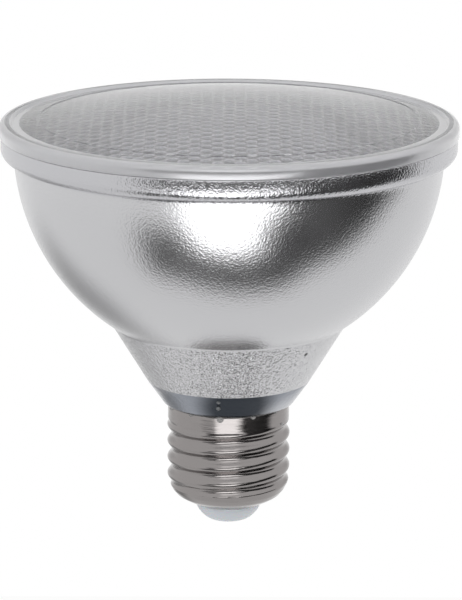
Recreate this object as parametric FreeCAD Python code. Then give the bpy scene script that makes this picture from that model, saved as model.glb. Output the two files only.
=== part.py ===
import FreeCAD, Part
import math
import os
from FreeCAD import Vector

# Spotlight bulb with a pressed-glass body, millimetres.
# +Z points from the screw cap to the lens, and the origin is the tip of the centre contact.

# Screw shell, rolled thread of a 27 mm lamp cap
collar_top = 26.2
collar_length = 2.9
collar_step = 0.15
shell_wall = 0.3
crest_radius = 13.1
thread_depth = 0.9
root_run_out = 0.7
thread_pitch = 3.629
thread_turns = 4.05
lowest_crest = 8.64
crest_half_width = 0.4
flank_slope = 0.78
fade_margin = 0.2
lower_fade = 3.0
upper_fade = 2.2
base_height = 4.3
base_hole_radius = 6.7
base_lip_width = 1.1
base_corner_width = 1.3
base_shoulder_height = 5.9
base_corner_height = 7.6

# Insulator and centre contact
insulator_tip_height = 0.35
insulator_tip_radius = 3.6
insulator_shoulder_width = 1.2
insulator_shoulder_height = 1.8
insulator_head_overlap = 0.3
insulator_hub_clearance = 0.3
insulator_collar_overlap = 0.9
insulator_collar_height = 1.4
contact_head_radius = 2.6
contact_rivet_radius = 1.6
contact_rivet_top = 7.0
contact_clearance = 0.3

# Glass neck, and the cement that holds the cap to it
cement_gap = 0.3
plug_clearance = 0.3
plug_length = 5.0
plug_wall = 1.7
plug_bore_length = 1.9
neck_edge_radius = 13.9
band_height = 5.1
band_top_radius = 17.45

# Glass shoulder and bowl, whose arcs are cut into chords
neck_height = 12.5
shoulder_radius = 25.05
bowl_height = 35.7
bowl_arc_radius = 46.6
bowl_arc_offset = 1.3
glass_wall = 2.2
inner_corner_rise = 1.55
bowl_chord_count = 6
bowl_inner_chord_count = 3

# Glass flange that carries the lens
flange_overhang = 2.73
flange_height = 4.95
flange_round = 2.4
flange_chord_count = 2
seat_depth = 2.6

# Lens
lens_overhang = 0.35
lens_edge_height = 2.75
lens_edge_round = 1.3
lens_edge_chord_count = 2
ring_width = 2.8
ring_height = 0.6
ring_slope = 0.3
dome_radius = 232.0
dome_chord_count = 3
dome_inner_chord_count = 2
lens_thickness = 3.7
spigot_inset = 1.2
seat_inset = 0.9

# Heat sink disc
sink_drop = 0.3
sink_thickness = 3.0
wire_hole_radius = 3.2

# Light board
board_edge_clearance = 1.8
board_thickness = 1.6
outer_light_count = 12
outer_light_circle = 15.0
inner_light_count = 6
inner_light_circle = 8.2
light_length = 3.5
light_width = 2.8
light_height = 0.8
screw_count = 2
screw_sleeve_gap = 0.9
screw_radius = 1.2
screw_head_radius = 2.2
screw_head_height = 1.5
screw_clearance = 0.2
connector_width = 8.0
connector_depth = 5.0
connector_height = 2.2

# Driver sleeve, driver board and the components on the board.
# A share is a size of the larger components over the radius of the sleeve's bore.
sleeve_clearance = 0.4
sleeve_wall = 1.0
sleeve_bottom = 9.5
driver_bottom = 11.0
driver_thickness = 1.2
driver_side_clearance = 0.25
part_gap = 1.5
transformer_drop = 3.0
transformer_width_share = 1.13
transformer_depth_share = 0.66
transformer_height = 9.0
transformer_cheek_share = 0.22
winding_share = 0.29
winding_height = 5.2
winding_clearance = 0.3
post_share = 0.14
capacitor_share = 0.37
capacitor_length = 11.0
capacitor_shift_share = 0.14
film_drop = 4.0
film_width = 7.0
film_depth = 4.0
film_height = 8.0
rectifier_side = 4.6
rectifier_depth = 2.3
chip_width = 4.9
chip_depth = 1.5
chip_height = 3.9
fuse_radius = 1.3
fuse_length = 6.0
fuse_clearance = 0.4

# Wires
lead_radius = 0.55
lead_spread = 1.3
lead_overlap = 2.5
cap_lead_radius = 0.4
cap_lead_overlap = 1.2
shell_lead_inset = 2.5
shell_lead_drop = 0.9

# Heights that follow from the sizes above
neck_bottom = collar_top + cement_gap
plug_bottom = neck_bottom - plug_length
plug_bore_top = plug_bottom + plug_bore_length
band_top = neck_bottom + band_height
shoulder_height = band_top + neck_height
corner_height = shoulder_height + inner_corner_rise
flange_bottom = shoulder_height + bowl_height
lens_seat = flange_bottom + flange_height
ledge_height = lens_seat - seat_depth
ring_top = lens_seat + lens_edge_height
dome_edge = ring_top - ring_height
run_out_height = collar_top - collar_length
insulator_collar_bottom = base_height + shell_wall

# Radii of the cap, of the plug inside it and of the sleeve inside the plug
collar_radius = crest_radius - collar_step
root_radius = crest_radius - thread_depth
plug_radius = root_radius - shell_wall - plug_clearance
plug_bore_radius = plug_radius - plug_wall
sleeve_radius = plug_bore_radius - sleeve_clearance
sleeve_bore = sleeve_radius - sleeve_wall
base_shoulder_radius = root_radius - base_corner_width
base_lip_radius = base_hole_radius + base_lip_width
insulator_head_radius = base_hole_radius + insulator_head_overlap
insulator_shoulder_radius = insulator_head_radius - insulator_shoulder_width
insulator_collar_radius = base_hole_radius + insulator_collar_overlap

# Places and sizes that follow from the sleeve
screw_circle = sleeve_radius + screw_sleeve_gap + screw_radius
shell_lead_offset = sleeve_bore - shell_lead_inset
transformer_width = sleeve_bore * transformer_width_share
transformer_depth = sleeve_bore * transformer_depth_share
transformer_cheek = sleeve_bore * transformer_cheek_share
winding_radius = sleeve_bore * winding_share
post_radius = sleeve_bore * post_share
capacitor_radius = sleeve_bore * capacitor_share
capacitor_shift = sleeve_bore * capacitor_shift_share

# Height of the bowl's arc centre, which lies past the axis
bowl_centre = shoulder_height + math.sqrt(
    bowl_arc_radius ** 2 - (shoulder_radius + bowl_arc_offset) ** 2)

# Radii of the flange and the lens, which follow from the top of the bowl
bowl_top_radius = math.sqrt(
    bowl_arc_radius ** 2 - (bowl_centre - flange_bottom) ** 2) - bowl_arc_offset
flange_radius = bowl_top_radius + flange_overhang
lens_radius = flange_radius + lens_overhang
ring_inner_radius = lens_radius - ring_width
dome_centre = dome_edge - math.sqrt(dome_radius ** 2 - ring_inner_radius ** 2)
spigot_radius = ring_inner_radius - spigot_inset
seat_radius = ring_inner_radius - seat_inset


class Outline:
    """A closed outline in the r-z plane that is turned about the Z axis."""

    def __init__(self, r, z):
        self.points = [(r, z)]

    def line(self, r, z):
        self.points.append((r, z))

    def arc(self, centre_r, centre_z, r, z, chords):
        """Chords of an arc about the given centre, from the last point to (r, z)."""
        last_r, last_z = self.points[-1]
        radius = math.hypot(r - centre_r, z - centre_z)
        start = math.atan2(last_z - centre_z, last_r - centre_r)
        sweep = math.atan2(z - centre_z, r - centre_r) - start
        for i in range(1, chords):
            angle = start + sweep * i / chords
            self.line(centre_r + radius * math.cos(angle), centre_z + radius * math.sin(angle))
        self.line(r, z)

    def turned(self):
        corners = [Vector(r, 0, z) for r, z in self.points]
        corners.append(corners[0])
        face = Part.Face(Part.makePolygon(corners))
        return face.revolve(Vector(0, 0, 0), Vector(0, 0, 1), 360)


def post(radius, bottom, top, x=0.0, y=0.0):
    """An upright cylinder between two heights."""
    return Part.makeCylinder(radius, top - bottom, Vector(x, y, bottom))


def block(width, depth, height, face, bottom):
    """A box centred on the axis in x, standing on its bottom height, with its lower y face given."""
    return Part.makeBox(width, depth, height, Vector(-width / 2, face, bottom))


def around(shape, count, start=0.0):
    """Copies of a shape spaced evenly about the Z axis."""
    copies = []
    for i in range(count):
        one = shape.copy()
        one.rotate(Vector(0, 0, 0), Vector(0, 0, 1), start + 360.0 * i / count)
        copies.append(one)
    return copies


def bowl_inner_radius(z):
    """Radius of the arc inside the bowl at a height."""
    arc = bowl_arc_radius - glass_wall
    return math.sqrt(arc ** 2 - (bowl_centre - z) ** 2) - bowl_arc_offset


def neck_inner_radius(z):
    """Radius of the cone that runs from the bore of the plug to the inside of the bowl."""
    share = (z - plug_bore_top) / (corner_height - plug_bore_top)
    return plug_bore_radius + share * (bowl_inner_radius(corner_height) - plug_bore_radius)


sink_top = corner_height - sink_drop
sink_bottom = sink_top - sink_thickness
board_top = sink_top + board_thickness
board_radius = neck_inner_radius(sink_top) - board_edge_clearance
driver_top = sink_bottom
driver_face = driver_thickness / 2
transformer_bottom = driver_top - transformer_drop - transformer_height
film_bottom = driver_top - film_drop - film_height
rectifier_bottom = film_bottom - part_gap - rectifier_side
cap_lead_y = driver_face + cap_lead_radius


def reflector_body():
    """Pressed glass: flange with its seat, bowl, shoulder, conical neck and the plug for the cap."""
    inner_top = bowl_inner_radius(ledge_height)
    inner_bottom = bowl_inner_radius(corner_height)
    rise = flange_bottom + flange_round

    shape = Outline(plug_bore_radius, plug_bottom)
    shape.line(plug_radius, plug_bottom)
    shape.line(plug_radius, neck_bottom)
    shape.line(neck_edge_radius, neck_bottom)
    shape.line(band_top_radius, band_top)
    shape.line(shoulder_radius, shoulder_height)
    shape.arc(-bowl_arc_offset, bowl_centre, bowl_top_radius, flange_bottom, bowl_chord_count)
    shape.line(flange_radius - flange_round, flange_bottom)
    shape.arc(flange_radius - flange_round, rise, flange_radius, rise, flange_chord_count)
    shape.line(flange_radius, lens_seat)
    shape.line(seat_radius, lens_seat)
    shape.line(seat_radius, ledge_height)
    shape.line(inner_top, ledge_height)
    shape.arc(-bowl_arc_offset, bowl_centre, inner_bottom, corner_height, bowl_inner_chord_count)
    shape.line(plug_bore_radius, plug_bore_top)
    return shape.turned()


def front_lens():
    """Domed glass lens with a raised ring at its edge and a spigot that centres it in the flange."""
    inner = dome_radius - lens_thickness
    spigot_end = dome_centre + math.sqrt(inner ** 2 - spigot_radius ** 2)
    round_start = ring_top - lens_edge_round

    shape = Outline(0, dome_centre + dome_radius)
    shape.arc(0, dome_centre, ring_inner_radius, dome_edge, dome_chord_count)
    shape.line(ring_inner_radius + ring_slope, ring_top)
    shape.line(lens_radius - lens_edge_round, ring_top)
    shape.arc(lens_radius - lens_edge_round, round_start, lens_radius, round_start,
              lens_edge_chord_count)
    shape.line(lens_radius, lens_seat)
    shape.line(spigot_radius, lens_seat)
    shape.line(spigot_radius, spigot_end)
    shape.arc(0, dome_centre, 0, dome_centre + inner, dome_inner_chord_count)
    return shape.turned()


def screw_places(radius, bottom, top):
    """Cylinders at the places of the board screws."""
    return around(post(radius, bottom, top, 0, screw_circle), screw_count)


def heat_sink():
    """Aluminium disc bonded into the top of the neck, with the wire hole and the screw holes."""
    shape = Outline(wire_hole_radius, sink_top)
    shape.line(neck_inner_radius(sink_top), sink_top)
    shape.line(neck_inner_radius(sink_bottom), sink_bottom)
    shape.line(wire_hole_radius, sink_bottom)
    holes = screw_places(screw_radius + screw_clearance, sink_bottom, sink_top)
    return shape.turned().cut(holes)


def led_board():
    """Round aluminium-core board, flat on the heat sink."""
    board = post(board_radius, sink_top, board_top)
    board = board.cut(post(wire_hole_radius, sink_top, board_top))
    return board.cut(screw_places(screw_radius + screw_clearance, sink_top, board_top))


def led_packages():
    """Surface-mounted light packages in an outer and an inner ring."""
    solids = []
    half_step = 180.0 / outer_light_count
    for count, circle, start in ((outer_light_count, outer_light_circle, half_step),
                                 (inner_light_count, inner_light_circle, 0.0)):
        corner = Vector(circle - light_width / 2, -light_length / 2, board_top)
        one = Part.makeBox(light_width, light_length, light_height, corner)
        solids += around(one, count, start)
    return Part.makeCompound(solids)


def board_screws():
    """Pan-head screws through the board into the heat sink."""
    head_top = board_top + screw_head_height
    one = post(screw_radius, sink_bottom, board_top, 0, screw_circle)
    one = one.fuse(post(screw_head_radius, board_top, head_top, 0, screw_circle))
    return Part.makeCompound(around(one, screw_count))


def board_connector():
    """Two-way connector over the wire hole."""
    return block(connector_width, connector_depth, connector_height,
                 driver_face + lead_radius - connector_depth / 2, board_top)


def driver_sleeve():
    """Insulating tube around the driver, bonded under the heat sink."""
    tube = post(sleeve_radius, sleeve_bottom, sink_bottom)
    return tube.cut(post(sleeve_bore, sleeve_bottom, sink_bottom))


def driver_board():
    """Glass-fibre board that stands in the sleeve with its top edge on the heat sink."""
    half = math.sqrt(sleeve_bore ** 2 - driver_face ** 2) - driver_side_clearance
    return block(2 * half, driver_thickness, driver_top - driver_bottom, -driver_face,
                 driver_bottom)


def transformer_core():
    """Ferrite core: two cheeks joined at the ends, with a post through the winding."""
    core = block(transformer_width, transformer_depth, transformer_height, driver_face,
                 transformer_bottom)
    window_height = winding_height + 2 * winding_clearance
    window_width = transformer_width - 2 * (transformer_cheek - winding_clearance)
    bottom = transformer_bottom + (transformer_height - window_height) / 2
    core = core.cut(block(window_width, transformer_depth, window_height, driver_face, bottom))
    return core.fuse(post(post_radius, bottom, bottom + window_height, 0,
                          driver_face + transformer_depth / 2))


def transformer_winding():
    """Copper winding on the post of the core."""
    bottom = transformer_bottom + (transformer_height - winding_height) / 2
    y = driver_face + transformer_depth / 2
    coil = post(winding_radius, bottom, bottom + winding_height, 0, y)
    return coil.cut(post(post_radius, bottom, bottom + winding_height, 0, y))


def bulk_capacitor():
    """Electrolytic can against the board, below the transformer."""
    top = transformer_bottom - part_gap
    return post(capacitor_radius, top - capacitor_length, top, -capacitor_shift,
                driver_face + capacitor_radius)


def fuse_resistor():
    """Round resistor beside the capacitor."""
    x = capacitor_radius - capacitor_shift + fuse_radius + fuse_clearance
    bottom = transformer_bottom - part_gap - capacitor_length
    return post(fuse_radius, bottom, bottom + fuse_length, x, driver_face + fuse_radius)


def film_capacitor():
    """Box-shaped film capacitor on the back of the board."""
    return block(film_width, film_depth, film_height, -driver_face - film_depth, film_bottom)


def bridge_rectifier():
    """Flat rectifier below the film capacitor."""
    return block(rectifier_side, rectifier_depth, rectifier_side, -driver_face - rectifier_depth,
                 rectifier_bottom)


def driver_chip():
    """Control chip below the rectifier."""
    return block(chip_width, chip_depth, chip_height, -driver_face - chip_depth,
                 rectifier_bottom - part_gap - chip_height)


def led_lead(side):
    """Insulated lead on the driver board, up through the wire hole to the connector."""
    return post(lead_radius, driver_top - lead_overlap, board_top, side * lead_spread,
                driver_face + lead_radius)


def centre_lead():
    """Wire from the driver board to the rivet of the centre contact."""
    return post(cap_lead_radius, contact_rivet_top, driver_bottom + cap_lead_overlap, 0, cap_lead_y)


def shell_lead():
    """Wire from the driver board down and out to the inside of the screw shell."""
    level = sleeve_bottom - shell_lead_drop
    x = -shell_lead_offset
    y = -cap_lead_y
    upright = post(cap_lead_radius, level, driver_bottom + cap_lead_overlap, x, y)
    reach = Part.makeCylinder(cap_lead_radius, root_radius + x, Vector(x, y, level),
                              Vector(-1, 0, 0))
    foot = post(cap_lead_radius, level - cap_lead_radius, level, x, y)
    inside = post(root_radius - shell_wall, level - lead_radius, driver_bottom + cap_lead_overlap)
    return upright.fuse([reach, foot]).common(inside).removeSplitter()


def neck_cement():
    """Clear cement between the glass plug and the collar, up to the glass."""
    bottom = run_out_height + shell_wall
    outer = post(collar_radius - shell_wall, bottom, neck_bottom)
    return outer.cut(post(plug_radius, bottom, neck_bottom))


def shell_form(inset):
    """The drawn shell without its thread, or the room inside it when inset by the wall."""
    floor = base_height + inset
    shape = Outline(0, collar_top)
    shape.line(collar_radius - inset, collar_top)
    shape.line(collar_radius - inset, run_out_height)
    shape.line(root_radius - inset, run_out_height - root_run_out)
    shape.line(root_radius - inset, base_corner_height + inset / 2)
    shape.line(base_shoulder_radius - inset / 2, base_shoulder_height + inset)
    shape.line(base_lip_radius - inset / 2, floor)
    shape.line(0, floor)
    return shape.turned()


def thread_ridge():
    """Right-hand thread: a ridge swept along a helix, which fades out at both ends."""
    sunk = root_radius - shell_wall / 2
    foot = crest_half_width + (crest_radius - sunk) * flank_slope
    corners = [Vector(sunk, 0, -foot), Vector(crest_radius, 0, -crest_half_width),
               Vector(crest_radius, 0, crest_half_width), Vector(sunk, 0, foot)]
    corners.append(corners[0])
    helix = Part.makeHelix(thread_pitch, thread_pitch * thread_turns, root_radius)
    ridge = Part.Wire(helix).makePipeShell([Part.makePolygon(corners)], True, True)
    ridge.translate(Vector(0, 0, lowest_crest))

    outer = crest_radius + fade_margin
    inner = root_radius - fade_margin
    low = lowest_crest - foot + fade_margin
    fade = Outline(0, low)
    fade.line(inner, low)
    fade.line(outer, low + lower_fade)
    fade.line(outer, run_out_height - upper_fade)
    fade.line(inner, run_out_height)
    fade.line(0, run_out_height)
    return ridge.common(fade.turned())


def screw_shell():
    """Drawn and rolled shell: plain collar, thread, and a base turned in to a hole."""
    shell = shell_form(0).fuse(thread_ridge())
    shell = shell.cut(shell_form(shell_wall))
    return shell.cut(post(base_hole_radius, 0, insulator_collar_bottom))


def cap_insulator():
    """Insulator that grips the edge of the shell's hole between its head and its collar."""
    hub = base_hole_radius - insulator_hub_clearance
    bore = contact_rivet_radius + contact_clearance
    collar = insulator_collar_bottom + insulator_collar_height

    shape = Outline(bore, insulator_tip_height)
    shape.line(insulator_tip_radius, insulator_tip_height)
    shape.line(insulator_shoulder_radius, insulator_shoulder_height)
    shape.line(insulator_head_radius, base_height)
    shape.line(hub, base_height)
    shape.line(hub, insulator_collar_bottom)
    shape.line(insulator_collar_radius, insulator_collar_bottom)
    shape.line(insulator_collar_radius, collar)
    shape.line(bore, collar)
    return shape.turned()


def centre_contact():
    """Rivet-shaped contact: a flat head under the insulator and a shank through it."""
    head = post(contact_head_radius, 0, insulator_tip_height)
    return head.fuse(post(contact_rivet_radius, 0, contact_rivet_top)).removeSplitter()


nodes = {
    "front_lens": front_lens(),
    "reflector_body": reflector_body(),
    "heat_sink": heat_sink(),
    "led_board": led_board(),
    "led_packages": led_packages(),
    "board_screws": board_screws(),
    "board_connector": board_connector(),
    "driver_sleeve": driver_sleeve(),
    "driver_board": driver_board(),
    "transformer_core": transformer_core(),
    "transformer_winding": transformer_winding(),
    "bulk_capacitor": bulk_capacitor(),
    "fuse_resistor": fuse_resistor(),
    "film_capacitor": film_capacitor(),
    "bridge_rectifier": bridge_rectifier(),
    "driver_chip": driver_chip(),
    "led_lead_positive": led_lead(1),
    "led_lead_negative": led_lead(-1),
    "centre_lead": centre_lead(),
    "shell_lead": shell_lead(),
    "neck_cement": neck_cement(),
    "screw_shell": screw_shell(),
    "cap_insulator": cap_insulator(),
    "centre_contact": centre_contact(),
}

os.makedirs("parts", exist_ok=True)
for name, shape in nodes.items():
    shape.exportStep(os.path.join("parts", name + ".step"))
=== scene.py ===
import math

import bpy
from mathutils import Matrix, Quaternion, Vector


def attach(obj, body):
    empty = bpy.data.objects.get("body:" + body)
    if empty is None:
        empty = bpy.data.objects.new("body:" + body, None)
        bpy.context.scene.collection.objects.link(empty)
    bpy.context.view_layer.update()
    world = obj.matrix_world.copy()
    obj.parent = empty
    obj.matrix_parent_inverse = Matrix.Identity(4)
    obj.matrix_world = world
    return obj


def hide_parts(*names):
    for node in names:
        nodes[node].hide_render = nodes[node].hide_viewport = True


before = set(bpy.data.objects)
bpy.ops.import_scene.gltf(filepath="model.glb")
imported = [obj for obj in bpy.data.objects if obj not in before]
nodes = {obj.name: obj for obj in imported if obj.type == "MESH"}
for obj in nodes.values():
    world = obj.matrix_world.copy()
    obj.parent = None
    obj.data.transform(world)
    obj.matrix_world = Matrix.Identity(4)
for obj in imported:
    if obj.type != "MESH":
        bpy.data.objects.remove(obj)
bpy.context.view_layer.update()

# Front lens: one piece of clear pressed glass, domed, with a raised ring at its edge and a spigot
# that drops into the body. The die leaves a honeycomb of small lenses on its inside.


def colour(code):
    """An sRGB hex value as linear red, green, blue and alpha."""
    parts = [int(code[i:i + 2], 16) / 255 for i in (1, 3, 5)]
    return [p / 12.92 if p <= 0.04045 else ((p + 0.055) / 1.055) ** 2.4 for p in parts] + [1.0]


def add_node(material, kind, settings, sockets):
    """Adds one shader node, sets its fields, and fills or links its inputs."""
    made = material.node_tree.nodes.new(kind)
    for field, value in settings.items():
        setattr(made, field, value)
    for name, value in sockets.items():
        if isinstance(value, bpy.types.NodeSocket):
            material.node_tree.links.new(value, made.inputs[name])
        else:
            made.inputs[name].default_value = value
    return made


def new_material(name, sockets):
    """A material with one Principled shader, and the shader, so that its inputs can be linked."""
    material = bpy.data.materials.new(name)
    material.use_nodes = True
    material.node_tree.nodes.clear()
    shader = add_node(material, "ShaderNodeBsdfPrincipled", {}, sockets)
    add_node(material, "ShaderNodeOutputMaterial", {}, {"Surface": shader.outputs[0]})
    return material, shader


def rippled(name, sockets, size, strength, depth, detail=2.0, distortion=0.0):
    """A material with a fine relief, whose size and depth are in millimetres, and its shader."""
    material, shader = new_material(name, sockets)
    relief = add_node(material, "ShaderNodeTexNoise", {}, {
        "Vector": add_node(material, "ShaderNodeTexCoord", {}, {}).outputs["Object"],
        "Scale": 1000 / size, "Detail": detail, "Distortion": distortion})
    bump = add_node(material, "ShaderNodeBump", {}, {
        "Strength": strength, "Distance": depth / 1000, "Height": relief.outputs["Fac"]})
    material.node_tree.links.new(bump.outputs["Normal"], shader.inputs["Normal"])
    return material, shader


def give(piece, *materials):
    """Puts materials on a piece in place of those it has."""
    piece.data.materials.clear()
    for material in materials:
        piece.data.materials.append(material)


def turned(name, outline, sides):
    """Spins an outline of (radius, height) points in millimetres about the Z axis."""
    bpy.ops.object.select_all(action="DESELECT")
    bpy.ops.mesh.primitive_plane_add(size=0.001)
    made = bpy.context.object
    made.name = name
    bpy.ops.object.mode_set(mode="EDIT")
    bpy.ops.mesh.select_mode(type="VERT")
    bpy.ops.mesh.select_all(action="SELECT")
    bpy.ops.mesh.merge(type="CENTER")
    r, z = outline[0]
    bpy.ops.transform.translate(value=(r / 1000, 0, z / 1000))
    for next_r, next_z in outline[1:]:
        step = ((next_r - r) / 1000, 0, (next_z - z) / 1000)
        bpy.ops.mesh.extrude_vertices_move(TRANSFORM_OT_translate={"value": step})
        r, z = next_r, next_z
    bpy.ops.mesh.select_all(action="SELECT")
    bpy.ops.mesh.spin(steps=sides, angle=math.tau, center=(0, 0, 0), axis=(0, 0, 1))
    bpy.ops.mesh.select_all(action="SELECT")
    bpy.ops.mesh.remove_doubles(threshold=0.000002)
    bpy.ops.mesh.normals_make_consistent(inside=False)
    bpy.ops.object.mode_set(mode="OBJECT")
    return made


def arc(centre_r, centre_z, radius, start, end, steps):
    """Points of an arc in the plane of an outline, angles in degrees from the +radius direction."""
    angles = [math.radians(start + (end - start) * i / steps) for i in range(steps + 1)]
    return [(centre_r + radius * math.cos(a), centre_z + radius * math.sin(a)) for a in angles]


def soften(piece, degrees):
    """Smooth shading, with creases that are sharper than the angle kept."""
    bpy.ops.object.select_all(action="DESELECT")
    piece.select_set(True)
    bpy.context.view_layer.objects.active = piece
    bpy.ops.object.shade_smooth_by_angle(angle=math.radians(degrees))


lens_r = 48.3
lens_thickness = 3.7
dome_radius = 232.0
dome_edge_r, dome_edge_z = 45.5, 86.9
dome_centre = dome_edge_z - math.sqrt(dome_radius ** 2 - dome_edge_r ** 2)
inner_dome = dome_radius - lens_thickness
raised_circle_height = 0.16
rim_top, rim_bottom = 87.5, 84.75
rim_round, rim_lower_round = 1.3, 0.3
spigot_r, spigot_bottom = 44.3, 83.6


def dome_height(r, radius):
    """Height of the outer or inner dome at a distance from the axis."""
    return dome_centre + math.sqrt(radius ** 2 - r ** 2)


def on_dome(radii, radius=dome_radius, raised=0.0):
    """Points of an outline on a dome, or at a height above it."""
    return [(r, dome_height(r, radius) + raised) for r in radii]


lens_outline = on_dome((0.0, 4.0, 8.0, 12.0, 16.0, 20.0, 24.0, 28.0, 31.0, 34.0, 37.0, 39.0, 39.7))
lens_outline += on_dome((39.85, 40.15), raised=raised_circle_height)
lens_outline += on_dome((40.3, 42.0, 44.0, 45.2))
lens_outline += [(45.45, 86.98), (45.7, 87.35), (45.85, 87.46), (46.05, rim_top)]
lens_outline += arc(lens_r - rim_round, rim_top - rim_round, rim_round, 90, 0, 8)
lens_outline += arc(lens_r - rim_lower_round, rim_bottom + rim_lower_round, rim_lower_round, 0, -90, 3)
lens_outline += [(spigot_r + 0.6, rim_bottom), (spigot_r, rim_bottom - 0.05), (spigot_r, spigot_bottom)]
lens_outline += on_dome((44.1, 43.6), inner_dome)
lens = turned("lens", lens_outline, 192)

# One cell is a hexagon that bulges downwards. It is copied along a pair of columns and then in rows,
# laid on the inner dome, and cut off flat at the spigot.
pitch = 2.6
corner = pitch / math.sqrt(3)
column_step = pitch * math.sqrt(3) / 2
column_pairs, cells_in_column = 21, 37
middle_x = (column_pairs - 1) * column_step
middle_y = (cells_in_column - 1) // 2 * pitch
bulge = 0.23
honeycomb_edge = 43.6
edge_fade = 0.8
bpy.ops.object.select_all(action="DESELECT")
bpy.ops.mesh.primitive_circle_add(vertices=6, radius=corner / 1000, fill_type="TRIFAN")
honeycomb = bpy.context.object
bpy.ops.object.mode_set(mode="EDIT")
bpy.ops.mesh.select_all(action="SELECT")
bpy.ops.transform.rotate(value=math.radians(30), orient_axis="Z", center_override=(0, 0, 0))
bpy.ops.mesh.subdivide(number_cuts=2)
bpy.ops.object.mode_set(mode="OBJECT")
for vertex in honeycomb.data.vertices:
    reach = math.hypot(vertex.co.x, vertex.co.y) * 1000 / corner
    vertex.co.z = -bulge * (1 - reach ** 2) / 1000
for count, offset in ((2, (column_step, pitch / 2)), (column_pairs, (2 * column_step, 0)),
                      (cells_in_column, (0, pitch))):
    row = honeycomb.modifiers.new("row", "ARRAY")
    row.count = count
    row.use_relative_offset = False
    row.use_constant_offset = True
    row.constant_offset_displace = (offset[0] / 1000, offset[1] / 1000, 0)
    row.use_merge_vertices = True
    row.merge_threshold = 0.00001
    bpy.ops.object.modifier_apply(modifier=row.name)
outside = set()
for vertex in honeycomb.data.vertices:
    x = vertex.co.x * 1000 - middle_x
    y = vertex.co.y * 1000 - middle_y
    r = math.hypot(x, y)
    drop = vertex.co.z * 1000
    if r > honeycomb_edge:
        x, y, r, drop = x * honeycomb_edge / r, y * honeycomb_edge / r, honeycomb_edge, 0.0
        outside.add(vertex.index)
    else:
        drop *= min(1.0, (honeycomb_edge - r) / edge_fade)
    vertex.co = (x / 1000, y / 1000, (dome_height(r, inner_dome) + drop) / 1000)
bpy.ops.object.mode_set(mode="EDIT")
bpy.ops.mesh.select_all(action="DESELECT")
bpy.ops.object.mode_set(mode="OBJECT")
for face in honeycomb.data.polygons:
    face.select = all(i in outside for i in face.vertices)
bpy.ops.object.mode_set(mode="EDIT")
bpy.ops.mesh.select_mode(type="FACE")
bpy.ops.mesh.delete(type="FACE")
bpy.ops.mesh.select_all(action="SELECT")
bpy.ops.mesh.normals_make_consistent(inside=False)
bpy.ops.object.mode_set(mode="OBJECT")
if honeycomb.data.polygons[0].normal.z > 0:
    honeycomb.data.flip_normals()
bpy.ops.object.select_all(action="DESELECT")
honeycomb.select_set(True)
lens.select_set(True)
bpy.context.view_layer.objects.active = lens
bpy.ops.object.join()
soften(lens, 24)

# Pressed soda-lime glass: clear and glossy, with the slow ripple of about 4 mm that a die leaves.
lens_glass = rippled("clear_pressed_glass", {
    "Base Color": colour("#f4f4f6"), "Roughness": 0.04, "IOR": 1.5, "Transmission Weight": 1.0},
    1000 / 260, 0.12, 0.2)[0]
# Fire-polished rim of the same glass: thick, so it looks grey and hazy under a glossy skin. The silver
# behind it is seen through it, for which it is made partly metallic. Its waves are about 6 mm long.
rim_haze = rippled("fire_polished_rim_glass", {
    "Base Color": colour("#dcdcdf"), "Roughness": 0.28, "Metallic": 0.35, "Transmission Weight": 0.72,
    "Coat Weight": 1.0, "Coat Roughness": 0.08}, 6.25, 0.2, 0.3, 3.0)[0]
# Acid-etched honeycomb: a pale, frosted glass that blurs what lies behind it. The frost is far finer
# than 0.4 mm, which is as fine as the render can show.
frost_size = 0.4
etched, shader = new_material("etched_honeycomb_glass", {
    "Base Color": colour("#ebebee"), "IOR": 1.5, "Transmission Weight": 0.76})
frost = add_node(etched, "ShaderNodeTexNoise", {}, {
    "Vector": add_node(etched, "ShaderNodeTexCoord", {}, {}).outputs["Object"],
    "Scale": 1000 / frost_size, "Detail": 2.0})
frost_range = add_node(etched, "ShaderNodeMapRange", {}, {
    "Value": frost.outputs["Fac"], "From Min": 0.3, "From Max": 0.7, "To Min": 0.13, "To Max": 0.22})
etched.node_tree.links.new(frost_range.outputs["Result"], shader.inputs["Roughness"])
# Middle of each cell, where the etched glass is thickest: the same glass, darker as painted shade, and
# crossed by a fine grain.
cell_painted_shade_glass = rippled("etched_cell_painted_shade_glass", {
    "Base Color": colour("#bcbcc2"), "Roughness": 0.14, "IOR": 1.5, "Transmission Weight": 0.76},
    frost_size, 0.1, 0.1)[0]
give(lens, lens_glass, rim_haze, etched, cell_painted_shade_glass)
rim_inner_r = 44.0
shade_share = 0.55
shade_end_r = 42.5


def cell_reach(x, y):
    """Distance from the middle of the nearest honeycomb cell, as a share of the cell's corner."""
    across, along = x + middle_x, y + middle_y
    reaches = []
    for column in (math.floor(across / column_step), math.ceil(across / column_step)):
        shifted = along - (pitch / 2 if column % 2 else 0)
        reaches.append(math.hypot(across - column * column_step, shifted - round(shifted / pitch) * pitch))
    return min(reaches) / corner


# Rim faces get the hazy glass, and inner faces get the etched glass, with painted shade on the middles of the
# cells. The rest gets the clear glass.
for face in lens.data.polygons:
    r = math.hypot(face.center.x, face.center.y) * 1000
    if r > rim_inner_r and face.center.z * 1000 < rim_top:
        face.material_index = 1
    elif face.normal.z < 0:
        reach = cell_reach(face.center.x * 1000, face.center.y * 1000)
        middle = r < shade_end_r and reach < shade_share
        face.material_index = 3 if middle else 2
    else:
        face.material_index = 0
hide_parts("front_lens")
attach(lens, "root")

# Reflector body: pressed glass, mirror-coated inside by vacuum aluminium, with a stippled outside.
# The coating stops above the clear band at the foot of the neck, where the cap is cemented on.

bowl_r, bowl_z = -1.3, 82.541
bowl_radius = 46.6
glass_wall = 2.2
bowl_top = 79.3
shoulder_r, shoulder_z = 25.05, 44.1
shoulder_round = 0.8
neck_low_r, neck_low_z = 17.75, 32.1
neck_high_r, neck_high_z = 24.75, 43.62
neck_steps = 10
flange_round = 2.3
flange_z = 82.1
seat_r, seat_z = 44.6, 82.15
plug_r, plug_bore, plug_bottom = 11.6, 9.9, 21.5


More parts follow.
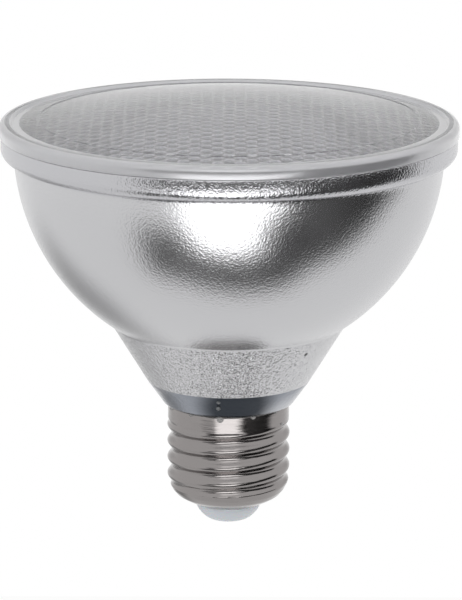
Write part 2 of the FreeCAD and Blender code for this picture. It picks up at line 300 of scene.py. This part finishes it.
def slope(drop, reach):
    """Angle in degrees of a point that lies so far below and beside an arc's centre."""
    return math.degrees(math.atan2(-drop, reach))


bowl_start = slope(bowl_z - shoulder_z, shoulder_r - bowl_r)
bowl_top_drop = bowl_z - bowl_top
bowl_stop = slope(bowl_top_drop, math.sqrt(bowl_radius ** 2 - bowl_top_drop ** 2))
inner_radius = bowl_radius - glass_wall
inner_top_z, inner_top_reach = 81.2, 44.38
inner_bowl_end_z, inner_bowl_drop = 45.9, 36.64
inner_start = slope(bowl_z - inner_top_z, inner_top_reach)
inner_stop = slope(bowl_z - inner_bowl_end_z, math.sqrt(inner_radius ** 2 - inner_bowl_drop ** 2))
body_outline = [(plug_bore, plug_bottom), (plug_r, plug_bottom), (plug_r, 26.1), (11.8, 26.4), (12.2, 26.5)]
body_outline += [(13.5, 26.5), (13.8, 26.56), (14.02, 26.75), (14.2, 27.0)]
body_outline += [(15.4, 28.7), (16.6, 30.4), (17.3, 31.35), (17.5, 31.72)]
body_outline += [(neck_low_r + (neck_high_r - neck_low_r) * i / neck_steps,
                  neck_low_z + (neck_high_z - neck_low_z) * i / neck_steps) for i in range(neck_steps + 1)]
body_outline += [(24.84, 43.74), (24.98, 43.96), (25.16, 44.16), (25.4, 44.34)]
body_outline += arc(bowl_r, bowl_z, bowl_radius, bowl_start + shoulder_round, bowl_stop, 48)
body_outline += [(45.24, 79.55), (45.3, 79.72), (45.55, 79.8)]
body_outline += arc(45.65, flange_z, flange_round, -90, 0, 10)
body_outline += [(47.95, 84.4), (47.88, 84.6), (47.7, 84.7), (seat_r, 84.72), (seat_r, seat_z)]
body_outline += [(43.3, seat_z), (43.08, 81.9)]
body_outline += arc(bowl_r, bowl_z, inner_radius, inner_start, inner_stop, 36)
body_outline += [(23.3, 45.5), (plug_bore, 23.5), (plug_bore, plug_bottom)]
body = turned("reflector", body_outline, 192)
soften(body, 40)

# Aluminised glass, seen through a stippled outside: a soft mirror that breaks the room up into fine
# sparkles. The stipple of the bowl is 0.45 mm wide and shallow.
stipple_size = 0.45
stipple_warp = 0.3
silvered = rippled("aluminised_stippled_glass", {
    "Base Color": colour("#c6c6c8"), "Metallic": 1.0, "Roughness": 0.23},
    stipple_size, 0.24, 0.2, 1.0, stipple_warp)[0]
# On the neck the stipple is a little coarser and much deeper, so that it glitters in light and dark
# grains. It has one dark speck of 0.3 mm radius.
speck_place = (0.0161, -0.0167, 0.041)
neck, shader = rippled("aluminised_stippled_neck", {
    "Base Color": colour("#c6c6c8"), "Metallic": 1.0, "Roughness": 0.12}, 0.5, 1.0, 0.32, 1.0, stipple_warp)
to_speck = add_node(neck, "ShaderNodeVectorMath", {"operation": "DISTANCE"}, {
    0: add_node(neck, "ShaderNodeTexCoord", {}, {}).outputs["Object"], 1: speck_place})
speck = add_node(neck, "ShaderNodeMapRange", {}, {
    "Value": to_speck.outputs["Value"], "From Min": 0.0003, "From Max": 0.0006})
speck_blend = add_node(neck, "ShaderNodeMix", {"data_type": "RGBA"}, {
    0: speck.outputs["Result"], 6: colour("#3d3d3f"), 7: colour("#c6c6c8")})
neck.node_tree.links.new(speck_blend.outputs[2], shader.inputs["Base Color"])
# Inside, the coating lies on fire-finished glass: a bright mirror with slow waves 6 mm long.
mirror = rippled("aluminised_smooth_glass", {
    "Base Color": colour("#dddddd"), "Metallic": 1.0, "Roughness": 0.08}, 6.0, 0.1, 0.2, 1.0, stipple_warp)[0]
# The foot is clear glass, and is given the tones that show through it: pale cement in patches about
# 14 mm long. A dark place in front is a painted dark reflection, which fades out between 4.5 and 10.5 mm
# from its middle. The silver above is seen in it too, for which it is made mostly metallic.
cement_patch = 1000 / 70
painted_reflection_place = (0.0018, -0.0155, 0.029)
clear_foot, shader = rippled("clear_foot_glass", {
    "Metallic": 0.85, "Roughness": 0.14, "IOR": 1.5}, 0.7, 0.4, 0.2, 1.0, stipple_warp)
foot_place = add_node(clear_foot, "ShaderNodeTexCoord", {}, {}).outputs["Object"]
behind = add_node(clear_foot, "ShaderNodeTexNoise", {}, {
    "Vector": foot_place, "Scale": 1000 / cement_patch, "Detail": 1.0})
behind_range = add_node(clear_foot, "ShaderNodeMapRange", {"interpolation_type": "SMOOTHSTEP"}, {
    "Value": behind.outputs["Fac"], "From Min": 0.4, "From Max": 0.6})
behind_blend = add_node(clear_foot, "ShaderNodeMix", {"data_type": "RGBA"}, {
    0: behind_range.outputs["Result"], 6: colour("#b6b8bd"), 7: colour("#8c9098")})
# A painted dark reflection: dark grey at one place in front of the foot, fading to the cement tones.
to_painted_reflection = add_node(clear_foot, "ShaderNodeVectorMath", {"operation": "DISTANCE"}, {
    0: foot_place, 1: painted_reflection_place})
painted_reflection_mask = add_node(clear_foot, "ShaderNodeMapRange", {"interpolation_type": "SMOOTHSTEP"}, {
    "Value": to_painted_reflection.outputs["Value"], "From Min": 0.0045, "From Max": 0.0105})
painted_reflection_blend = add_node(clear_foot, "ShaderNodeMix", {"data_type": "RGBA"}, {
    0: painted_reflection_mask.outputs["Result"], 6: colour("#2f343b"), 7: behind_blend.outputs[2]})
clear_foot.node_tree.links.new(painted_reflection_blend.outputs[2], shader.inputs["Base Color"])
# The flange has the stipple of the bowl, pressed deeper, and so looks a little duller and greyer.
rim_glass = rippled("aluminised_rim_glass", {
    "Base Color": colour("#bfbfc2"), "Metallic": 1.0, "Roughness": 0.2},
    stipple_size, 0.45, 0.2, 1.0, stipple_warp)[0]
give(body, silvered, mirror, clear_foot, rim_glass, neck)
foot_top, neck_top, flange_bottom = 31.6, 43.8, 79.4
for face in body.data.polygons:
    z = face.center.z * 1000
    outward = face.normal.x * face.center.x + face.normal.y * face.center.y > 0
    if z < foot_top:
        face.material_index = 2
    elif z > flange_bottom:
        face.material_index = 3
    elif outward:
        face.material_index = 4 if z < neck_top else 0
    else:
        face.material_index = 1
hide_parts("reflector_body")
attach(body, "root")

# Screw shell: drawn from nickel-plated sheet and rolled, so that its thread is a smooth wave.
# The wave fades into the plain collar above and into the rounded base below.

thread_pitch = 3.629
crest, root = 13.1, 12.2
collar, collar_top = 12.95, 26.0
crest_z = 19.53
thread_end, collar_start = 21.6, 23.0
thread_step, thread_rows = 0.15, 125
hole_r = 6.7
dent_width = 1.1
outer_skin_r = 12.9
wave_bottom, wave_top = 7.2, 25.0
base_envelope = [(4.3, 7.8), (4.5, 8.2), (5.0, 9.1), (5.6, 10.2), (6.3, 11.25), (7.0, 11.9), (7.6, 12.2),
                 (8.6, 12.72), (9.6, 13.0), (11.0, crest), (99.0, crest)]


def between(table, at):
    """Value at a place between the points of a short table."""
    for (a, first), (b, second) in zip(table, table[1:]):
        if at <= b:
            return first + (second - first) * (at - a) / (b - a)


def smooth_step(low, high, at):
    """Rises smoothly from 0 at one value to 1 at another."""
    t = min(1.0, max(0.0, (at - low) / (high - low)))
    return t * t * (3 - 2 * t)


def shell_radius(z, angle):
    """Radius of the rolled shell at a height and an angle, in millimetres."""
    turn = (z - crest_z) / thread_pitch - angle / math.tau
    off = abs(turn - round(turn)) * 2
    wave = root + (crest - root) * (0.5 + 0.5 * math.cos(math.pi * off))
    if z > thread_end:
        wave = collar + (wave - collar) * smooth_step(collar_start, thread_end, z)
    dent = 0.0
    for dent_angle, dent_z, depth in ((-2.36, 24.6, 0.14), (-2.14, 22.6, 0.1)):
        away = math.hypot((angle - dent_angle) * crest, z - dent_z)
        dent += depth * math.exp(-(away / dent_width) ** 2)
    return min(wave, between(base_envelope, z)) - dent


# Collar with its rolled lip, thread, rounded base down to the edge of the hole, and the same way
# back up inside.
shell_outline = [(12.65, 25.9), (12.68, 26.1), (12.8, 26.2), (12.9, 26.15), (collar, collar_top)]
shell_outline += [(collar, collar_top - thread_step * i) for i in range(1, thread_rows + 1)]
shell_outline += [(11.9, 7.1), (11.6, 6.75), (11.25, 6.3), (10.8, 5.95), (10.2, 5.6), (9.6, 5.28)]
shell_outline += [(9.1, 5.0), (8.6, 4.72), (8.2, 4.5), (7.8, 4.33), (7.4, 4.3), (6.9, 4.32), (hole_r, 4.45)]
shell_outline += [(hole_r, 4.6), (7.7, 4.65), (9.0, 5.3), (11.0, 6.6), (11.85, 8.0), (11.85, 22.0)]
shell_outline += [(12.65, 23.8), (12.65, 25.9)]
shell = turned("screw_cap", shell_outline, 180)
for vertex in shell.data.vertices:
    r = math.hypot(vertex.co.x, vertex.co.y) * 1000
    z = vertex.co.z * 1000
    if r > outer_skin_r and wave_bottom < z < wave_top:
        wanted = shell_radius(z, math.atan2(vertex.co.y, vertex.co.x))
        vertex.co.x *= wanted / r
        vertex.co.y *= wanted / r
soften(shell, 50)

# Bright nickel plate: a dark, nearly neutral grey mirror, drawn out along the turn by the rolling into
# streaks that are about 4 mm long and a sixth as high.
streak_length = 1000 / 240
streak_squeeze = 6.0
nickel, shader = new_material("bright_nickel_plate", {
    "Base Color": colour("#908c8b"), "Metallic": 1.0})
rolled = add_node(nickel, "ShaderNodeMapping", {}, {
    "Vector": add_node(nickel, "ShaderNodeTexCoord", {}, {}).outputs["Object"],
    "Scale": (1.0, 1.0, streak_squeeze)})
scuff = add_node(nickel, "ShaderNodeTexNoise", {}, {
    "Vector": rolled.outputs["Vector"], "Scale": 1000 / streak_length, "Detail": 3.0})
haze = add_node(nickel, "ShaderNodeMapRange", {}, {
    "Value": scuff.outputs["Fac"], "From Min": 0.35, "From Max": 0.7, "To Min": 0.1, "To Max": 0.22})
nickel.node_tree.links.new(haze.outputs["Result"], shader.inputs["Roughness"])
wobble = add_node(nickel, "ShaderNodeBump", {}, {
    "Strength": 0.1, "Distance": 0.0004, "Height": scuff.outputs["Fac"]})
nickel.node_tree.links.new(wobble.outputs["Normal"], shader.inputs["Normal"])
give(shell, nickel)
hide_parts("screw_shell")
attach(shell, "root")

# Insulator and centre contact: a bluish white moulding that grips the edge of the shell's hole,
# and a tinned rivet headed over in its middle.

insulator_outline = [(1.9, 0.35), (3.2, 0.35), (3.75, 0.4), (4.4, 0.62), (5.0, 1.0), (5.5, 1.4),
                     (5.85, 1.78), (6.1, 2.1), (6.38, 2.45), (6.6, 2.8), (6.84, 3.3), (6.98, 3.8),
                     (7.0, 4.1), (6.9, 4.25), (6.7, 4.28), (6.4, 4.3), (6.4, 4.6), (7.6, 4.62),
                     (7.6, 5.9), (7.5, 6.0), (2.0, 6.0), (1.9, 5.9), (1.9, 0.35)]
insulator = turned("insulator", insulator_outline, 120)
soften(insulator, 40)
# Moulded thermoset: bluish white, half matt, and a little translucent at its edge, with the orange
# peel of about 1 mm that a mould leaves.
give(insulator, rippled("white_moulded_insulator", {
    "Base Color": colour("#e3e8ee"), "Roughness": 0.35, "IOR": 1.5,
    "Subsurface Weight": 0.15, "Subsurface Scale": 0.002}, 1000 / 900, 0.06, 0.2)[0])
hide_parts("cap_insulator")
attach(insulator, "root")

contact_outline = [(0.0, 0.0), (1.4, 0.0), (2.0, 0.05), (2.4, 0.16), (2.58, 0.28), (2.6, 0.35),
                   (1.6, 0.36), (1.6, 6.9), (1.5, 7.0), (0.0, 7.0)]
contact = turned("contact_rivet", contact_outline, 72)
soften(contact, 40)
# Hot-tinned brass: a pale metal with duller patches about 0.7 mm wide where the tin has set.
tin_patch = 1000 / 1500
tinned, shader = new_material("tinned_rivet", {"Base Color": colour("#b8b7b4"), "Metallic": 1.0})
dull = add_node(tinned, "ShaderNodeTexNoise", {}, {
    "Vector": add_node(tinned, "ShaderNodeTexCoord", {}, {}).outputs["Object"],
    "Scale": 1000 / tin_patch, "Detail": 3.0})
dull_range = add_node(tinned, "ShaderNodeMapRange", {}, {
    "Value": dull.outputs["Fac"], "From Min": 0.3, "From Max": 0.7, "To Min": 0.22, "To Max": 0.45})
tinned.node_tree.links.new(dull_range.outputs["Result"], shader.inputs["Roughness"])
give(contact, tinned)
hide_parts("centre_contact")
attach(contact, "root")

# Neck cement: a ring of clear silicone that holds the shell on the glass. It fills the gap between
# glass and collar, and part of it is squeezed out in beads on the foot of the neck and the collar.

cement_outline = [(11.6, 23.6), (12.65, 23.6), (12.65, 26.15), (12.9, 26.22), (13.15, 26.24),
                  (13.24, 26.35), (13.15, 26.48), (12.9, 26.5), (11.6, 26.5), (11.6, 23.6)]
cement = turned("cement_ring", cement_outline, 120)
# The beads, each with its place and its radius in millimetres.
bpy.ops.object.select_all(action="DESELECT")
for x, y, z, size in ((-2.1, -16.7, 30.6, 0.4), (-2.1, -15.6, 29.0, 0.5), (-1.75, -13.1, 25.9, 0.75),
                      (5.2, -12.0, 26.1, 0.5), (-7.9, -10.4, 26.1, 0.4), (-12.1, -4.8, 26.0, 0.45),
                      (9.85, -8.6, 26.3, 0.4), (11.5, -6.3, 22.9, 0.3), (3.4, 12.6, 26.1, 0.5)):
    bpy.ops.mesh.primitive_uv_sphere_add(segments=20, ring_count=12, radius=size / 1000,
                                         location=(x / 1000, y / 1000, z / 1000))
    bpy.ops.object.transform_apply(location=True, rotation=True, scale=True)
    bead = bpy.context.object
    bpy.ops.object.select_all(action="DESELECT")
    bead.select_set(True)
    cement.select_set(True)
    bpy.context.view_layer.objects.active = cement
    bpy.ops.object.join()
soften(cement, 50)
# Clear silicone: glassy drops with a soft, lumpy skin, of lumps about 1.4 mm wide.
give(cement, rippled("clear_silicone", {
    "Base Color": colour("#eef0f0"), "Roughness": 0.12, "IOR": 1.41, "Transmission Weight": 0.85},
    1000 / 700, 0.3, 0.3, 1.0)[0])
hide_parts("neck_cement")
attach(cement, "root")

# Heat sink, light board and what sits on it: turned aluminium, white solder resist on an aluminium
# core, phosphor-filled light packages, zinc-plated screws and a moulded connector.


def mottled(name, dark, light, grain, relief, sockets):
    """A finish that drifts between two close colours, and its shader. Where a relief is given, its
    strength, the patches stand out by a quarter of their size, the grain in millimetres."""
    material, shader = new_material(name, sockets)
    cloud = add_node(material, "ShaderNodeTexNoise", {}, {
        "Vector": add_node(material, "ShaderNodeTexCoord", {}, {}).outputs["Object"],
        "Scale": 1000 / grain, "Detail": 3.0})
    blend = add_node(material, "ShaderNodeMix", {"data_type": "RGBA"}, {
        0: cloud.outputs["Fac"], 6: colour(dark), 7: colour(light)})
    material.node_tree.links.new(blend.outputs[2], shader.inputs["Base Color"])
    if relief:
        bump = add_node(material, "ShaderNodeBump", {}, {
            "Strength": relief, "Distance": grain / 4000, "Height": cloud.outputs["Fac"]})
        material.node_tree.links.new(bump.outputs["Normal"], shader.inputs["Normal"])
    return material, shader


# Turned aluminium: a pale grey metal with fine rings round the axis, one for each 0.63 mm of feed.
# A wave texture has 20 / tau waves in one unit, from which its scale follows.
waves_per_unit = 20 / math.tau
tool_feed = math.tau / 10
turned_aluminium, shader = mottled("turned_aluminium", "#c4c6c8", "#d6d8da", 1.2, None, {
    "Metallic": 1.0, "Roughness": 0.32})
rings = add_node(turned_aluminium, "ShaderNodeTexWave", {
    "wave_type": "RINGS", "rings_direction": "Z", "wave_profile": "SIN"}, {
    "Vector": add_node(turned_aluminium, "ShaderNodeTexCoord", {}, {}).outputs["Object"],
    "Scale": 1000 / tool_feed / waves_per_unit, "Distortion": 0.4})
tool_marks = add_node(turned_aluminium, "ShaderNodeBump", {}, {
    "Strength": 0.15, "Distance": 0.0001, "Height": rings.outputs["Fac"]})
turned_aluminium.node_tree.links.new(tool_marks.outputs["Normal"], shader.inputs["Normal"])
give(nodes["heat_sink"], turned_aluminium)
# Solder resist, silk-screened: white and half glossy, with waves of about 2 mm in the film.
give(nodes["led_board"], mottled("white_solder_resist", "#e9e9e4", "#f2f2ee", 2.0, 0.08, {
    "Roughness": 0.35})[0])
# Phosphor in cast silicone: yellow, half matt, and translucent to about half a millimetre.
give(nodes["led_packages"], mottled("phosphor_silicone", "#d9c36a", "#e6d27e", 0.6, 0.1, {
    "Roughness": 0.4, "Subsurface Weight": 0.1, "Subsurface Scale": 0.0005})[0])
# Zinc-plated steel: a cool grey metal with a faint spangle of half a millimetre.
give(nodes["board_screws"], mottled("zinc_plated_steel", "#a9abad", "#c0c2c4", 0.5, 0.1, {
    "Metallic": 1.0, "Roughness": 0.28})[0])
# Moulded nylon: cream and half matt, with a mould texture of 0.8 mm.
give(nodes["board_connector"], mottled("moulded_nylon", "#dedbd0", "#e9e6dc", 0.8, 0.1, {
    "Roughness": 0.45})[0])

# Driver: a moulded sleeve that holds a glass-fibre board, with the components of a small switching
# supply soldered to it. Stranded and solid leads run to the light board, the shell and the contact.

# Moulded polycarbonate: white and half glossy, with shallow sink marks of about 1.5 mm.
give(nodes["driver_sleeve"], mottled("white_polycarbonate", "#dfe0de", "#eaebe9", 1.5, 0.06, {
    "Roughness": 0.4})[0])
# Glass-fibre laminate: dull green, with the weave of its cloth showing. A brick is half a unit long,
# from which the scale follows for yarns that are 0.56 mm wide.
yarn_width = 500 / 900
laminate, shader = mottled("glass_fibre_laminate", "#a9b184", "#b9c094", 1.0, None, {"Roughness": 0.42})
weave = add_node(laminate, "ShaderNodeTexBrick", {"offset": 0.5}, {
    "Vector": add_node(laminate, "ShaderNodeTexCoord", {}, {}).outputs["Object"],
    "Scale": 500 / yarn_width, "Mortar Size": 0.04})
weave_bump = add_node(laminate, "ShaderNodeBump", {}, {
    "Strength": 0.1, "Distance": 0.0001, "Height": weave.outputs["Fac"]})
laminate.node_tree.links.new(weave_bump.outputs["Normal"], shader.inputs["Normal"])
give(nodes["driver_board"], laminate)
# Sintered ferrite: nearly black and matt, with a pressed grain that is drawn as coarse as 0.4 mm.
give(nodes["transformer_core"], mottled("sintered_ferrite", "#2c2d30", "#3b3c40", 0.4, 0.2, {
    "Roughness": 0.55})[0])
# Enamelled copper wire: brown, glossy under its enamel, in turns of 0.39 mm side by side.
wire_width = math.tau / 16
copper, shader = mottled("enamelled_copper_wire", "#8f4a21", "#b5652f", 0.8, None, {
    "Metallic": 1.0, "Roughness": 0.25, "Coat Weight": 0.6})
turns = add_node(copper, "ShaderNodeTexWave", {
    "wave_type": "BANDS", "bands_direction": "Z", "wave_profile": "SIN"}, {
    "Vector": add_node(copper, "ShaderNodeTexCoord", {}, {}).outputs["Object"],
    "Scale": 1000 / wire_width / waves_per_unit})
turn_bump = add_node(copper, "ShaderNodeBump", {}, {
    "Strength": 0.6, "Distance": 0.0002, "Height": turns.outputs["Fac"]})
copper.node_tree.links.new(turn_bump.outputs["Normal"], shader.inputs["Normal"])
give(nodes["transformer_winding"], copper)
# Shrunk plastic film on the can: dark blue-grey and glossy, with waves of about 1.5 mm.
give(nodes["bulk_capacitor"], mottled("capacitor_sleeve_film", "#20242c", "#2d323c", 1.5, 0.05, {
    "Roughness": 0.3})[0])
# Dipped lacquer: blue-green and glossy, with an orange peel of 0.6 mm.
give(nodes["fuse_resistor"], mottled("resistor_lacquer", "#4f7f86", "#5f9098", 0.6, 0.08, {
    "Roughness": 0.35})[0])
# Polyester case of the film capacitor: mustard, half glossy, faintly uneven over 1 mm.
give(nodes["film_capacitor"], mottled("film_capacitor_case", "#8a7a25", "#a3922f", 1.0, 0.06, {
    "Roughness": 0.38})[0])
# Moulded epoxy: black and matt, with an eroded mould texture of 0.3 mm. Both packages have it.
epoxy = mottled("black_epoxy_case", "#17181a", "#232528", 0.3, 0.15, {"Roughness": 0.5})[0]
give(nodes["bridge_rectifier"], epoxy)
give(nodes["driver_chip"], epoxy)
# Extruded PVC: an even colour and a soft gloss, with a faint skin of 0.7 mm.
give(nodes["led_lead_positive"], mottled("red_pvc_insulation", "#a8201b", "#bf2c25", 0.7, 0.08, {
    "Roughness": 0.4})[0])
give(nodes["led_lead_negative"], mottled("black_pvc_insulation", "#1b1b1d", "#28282b", 0.7, 0.08, {
    "Roughness": 0.4})[0])
# Tinned copper wire, bare: a pale grey metal with a drawn skin of 0.4 mm.
wire = mottled("tinned_copper_wire", "#a8a7a3", "#bdbcb8", 0.4, 0.1, {
    "Metallic": 1.0, "Roughness": 0.3})[0]
give(nodes["centre_lead"], wire)
give(nodes["shell_lead"], wire)

# Stage: a pale floor and room, white soft boxes in front and above, and dark and grey cards at the
# sides, below and behind, which the metal and the glass reflect. The cards fade out at their edges.
# They don't show to the camera and throw no shadow. Places and sizes are in metres.

# The floor lies so low that a view from below still looks at the lamp from above it.
floor_z = -1.4
bpy.ops.object.select_all(action="DESELECT")
bpy.ops.mesh.primitive_plane_add(size=8.0, location=(0, 0, floor_z))
floor = bpy.context.object
floor.name = "floor"


def pale_paths(material):
    """One for rays from the camera, from metal and through glass, and zero for scattered light."""
    path = add_node(material, "ShaderNodeLightPath", {}, {})
    seen = add_node(material, "ShaderNodeMath", {"operation": "ADD"}, {
        0: path.outputs["Is Camera Ray"], 1: path.outputs["Is Glossy Ray"]})
    return add_node(material, "ShaderNodeMath", {"operation": "ADD", "use_clamp": True}, {
        0: seen.outputs[0], 1: path.outputs["Is Transmission Ray"]}).outputs[0]


pale, shader = new_material("pale_floor", {"Base Color": colour("#ececec"), "Roughness": 0.9})
share = add_node(pale, "ShaderNodeMath", {"operation": "MULTIPLY"}, {0: pale_paths(pale), 1: 0.93})
white = add_node(pale, "ShaderNodeEmission", {}, {"Color": (1, 1, 1, 1), "Strength": 1.0})
either = add_node(pale, "ShaderNodeMixShader", {}, {
    0: share.outputs[0], 1: shader.outputs[0], 2: white.outputs[0]})
for item in pale.node_tree.nodes:
    if item.type == "OUTPUT_MATERIAL":
        pale.node_tree.links.new(either.outputs[0], item.inputs["Surface"])
floor.data.materials.append(pale)

world = bpy.data.worlds.new("room")
world.use_nodes = True
bpy.context.scene.world = world
world.node_tree.nodes.clear()
room = add_node(world, "ShaderNodeBackground", {}, {"Color": colour("#e2e2e2"), "Strength": 0.9})
backdrop = add_node(world, "ShaderNodeBackground", {}, {"Color": (1, 1, 1, 1), "Strength": 1.0})
seen_room = add_node(world, "ShaderNodeMixShader", {}, {
    0: pale_paths(world), 1: room.outputs[0], 2: backdrop.outputs[0]})
add_node(world, "ShaderNodeOutputWorld", {}, {"Surface": seen_room.outputs[0]})


def soft_card(name, level, soft, place, aim, width, height, roll=0.0):
    """A card at a place that faces a point: its brightness, the share of its width and height that
    fades out, its size, and its turn about its own normal in degrees."""
    bpy.ops.object.select_all(action="DESELECT")
    bpy.ops.mesh.primitive_plane_add(size=1.0, location=place)
    card = bpy.context.object
    card.name = name
    card.scale = (width, height, 1)
    turn = (Vector(aim) - Vector(place)).to_track_quat("Z", "Y")
    card.rotation_euler = (turn @ Quaternion((0, 0, 1), math.radians(roll))).to_euler()
    material = bpy.data.materials.new(name)
    material.use_nodes = True
    material.node_tree.nodes.clear()
    coordinates = add_node(material, "ShaderNodeTexCoord", {}, {}).outputs["Object"]
    across = add_node(material, "ShaderNodeSeparateXYZ", {}, {0: coordinates})
    masks = []
    for axis, fade in zip(("X", "Y"), soft):
        away = add_node(material, "ShaderNodeMath", {"operation": "ABSOLUTE"}, {0: across.outputs[axis]})
        masks.append(add_node(material, "ShaderNodeMapRange", {"interpolation_type": "SMOOTHSTEP"}, {
            "Value": away.outputs[0], "From Min": 0.5, "From Max": 0.5 * (1 - fade)}).outputs["Result"])
    mask = add_node(material, "ShaderNodeMath", {"operation": "MULTIPLY"}, {0: masks[0], 1: masks[1]})
    clear = add_node(material, "ShaderNodeBsdfTransparent", {}, {})
    glow = add_node(material, "ShaderNodeEmission", {}, {"Strength": level})
    blend = add_node(material, "ShaderNodeMixShader", {}, {
        0: mask.outputs[0], 1: clear.outputs[0], 2: glow.outputs[0]})
    add_node(material, "ShaderNodeOutputMaterial", {}, {"Surface": blend.outputs[0]})
    card.data.materials.append(material)
    card.visible_camera = False
    card.visible_shadow = False
    card.visible_diffuse = False
    card.visible_transmission = False


lamp_middle = (0, 0, 0.06)
soft_card("soft_box_front", 2.9, (0.22, 0.5), (0.08, -0.36, -0.14), (0.08, 0, -0.14), 0.55, 0.38)
soft_card("soft_box_top", 1.8, (0.5, 0.5), (0.0, -0.4, 0.3), lamp_middle, 0.36, 0.3)
soft_card("dark_card_right", 0.01, (0.4, 0.5), (0.204, -0.1537, -0.0471), (0.0041, -0.0474, 0.0999),
          0.46, 0.25, -40)
soft_card("dark_card_upper", 0.05, (0.3, 0.3), (0.212, -0.1796, -0.0029), (0.0121, -0.0733, 0.1441),
          0.25, 0.2, 16)
soft_card("dark_card_low", 0.03, (0.45, 0.75), (0.03, -0.19, -0.195), lamp_middle, 0.4, 0.2)
soft_card("dark_card_left", 0.08, (0.7, 0.7), (-0.124, -0.175, -0.115), lamp_middle, 0.2, 0.2)
soft_card("grey_card_rear", 0.45, (0.8, 0.8), (-0.2, 0.26, -0.2), lamp_middle, 0.36, 0.34)
soft_card("grey_card_back", 0.8, (0.5, 0.5), (0, 0.5, 0.22), lamp_middle, 1.3, 0.5)
soft_card("dark_card_front", 0.12, (0.3, 0.3), (0.06, -0.5, 0.07), lamp_middle, 1.3, 0.26)
soft_card("dark_card_side", 0.04, (0.4, 0.4), (0.38, -0.1, 0.05), lamp_middle, 0.42, 0.26)

lamp_data = bpy.data.lights.new("soft_box_left", "AREA")
lamp_data.shape = "RECTANGLE"
lamp_data.size = 0.6
lamp_data.size_y = 0.6
lamp_data.energy = 1.2
lamp = bpy.data.objects.new("soft_box_left", lamp_data)
bpy.context.scene.collection.objects.link(lamp)
lamp.location = (-0.7, -0.45, 0.6)
lamp.rotation_euler = (math.radians(57), 0, math.radians(-57))
lamp.visible_camera = False
lamp.visible_glossy = False
lamp.visible_transmission = False

# Camera: the photograph's viewing angle, fitted to the rim, the shoulder and the cap. It stands
# about 0.73 m from the lamp and looks down by 14 degrees.

focal_length_px = 3448.75
photo_height_px = 600
sensor = 36.0
camera_data = bpy.data.cameras.new("camera")
camera_data.sensor_width = sensor
camera_data.lens = focal_length_px / photo_height_px * sensor
camera_data.clip_start = 0.01
camera = bpy.data.objects.new("camera", camera_data)
bpy.context.scene.collection.objects.link(camera)
look_down = 14.142
camera_roll = -0.15
camera.location = (0, -0.71001, 0.22739)
camera.rotation_euler = (math.radians(90 - look_down), math.radians(camera_roll), 0)
bpy.context.scene.camera = camera
bpy.context.scene.view_settings.view_transform = "Standard"
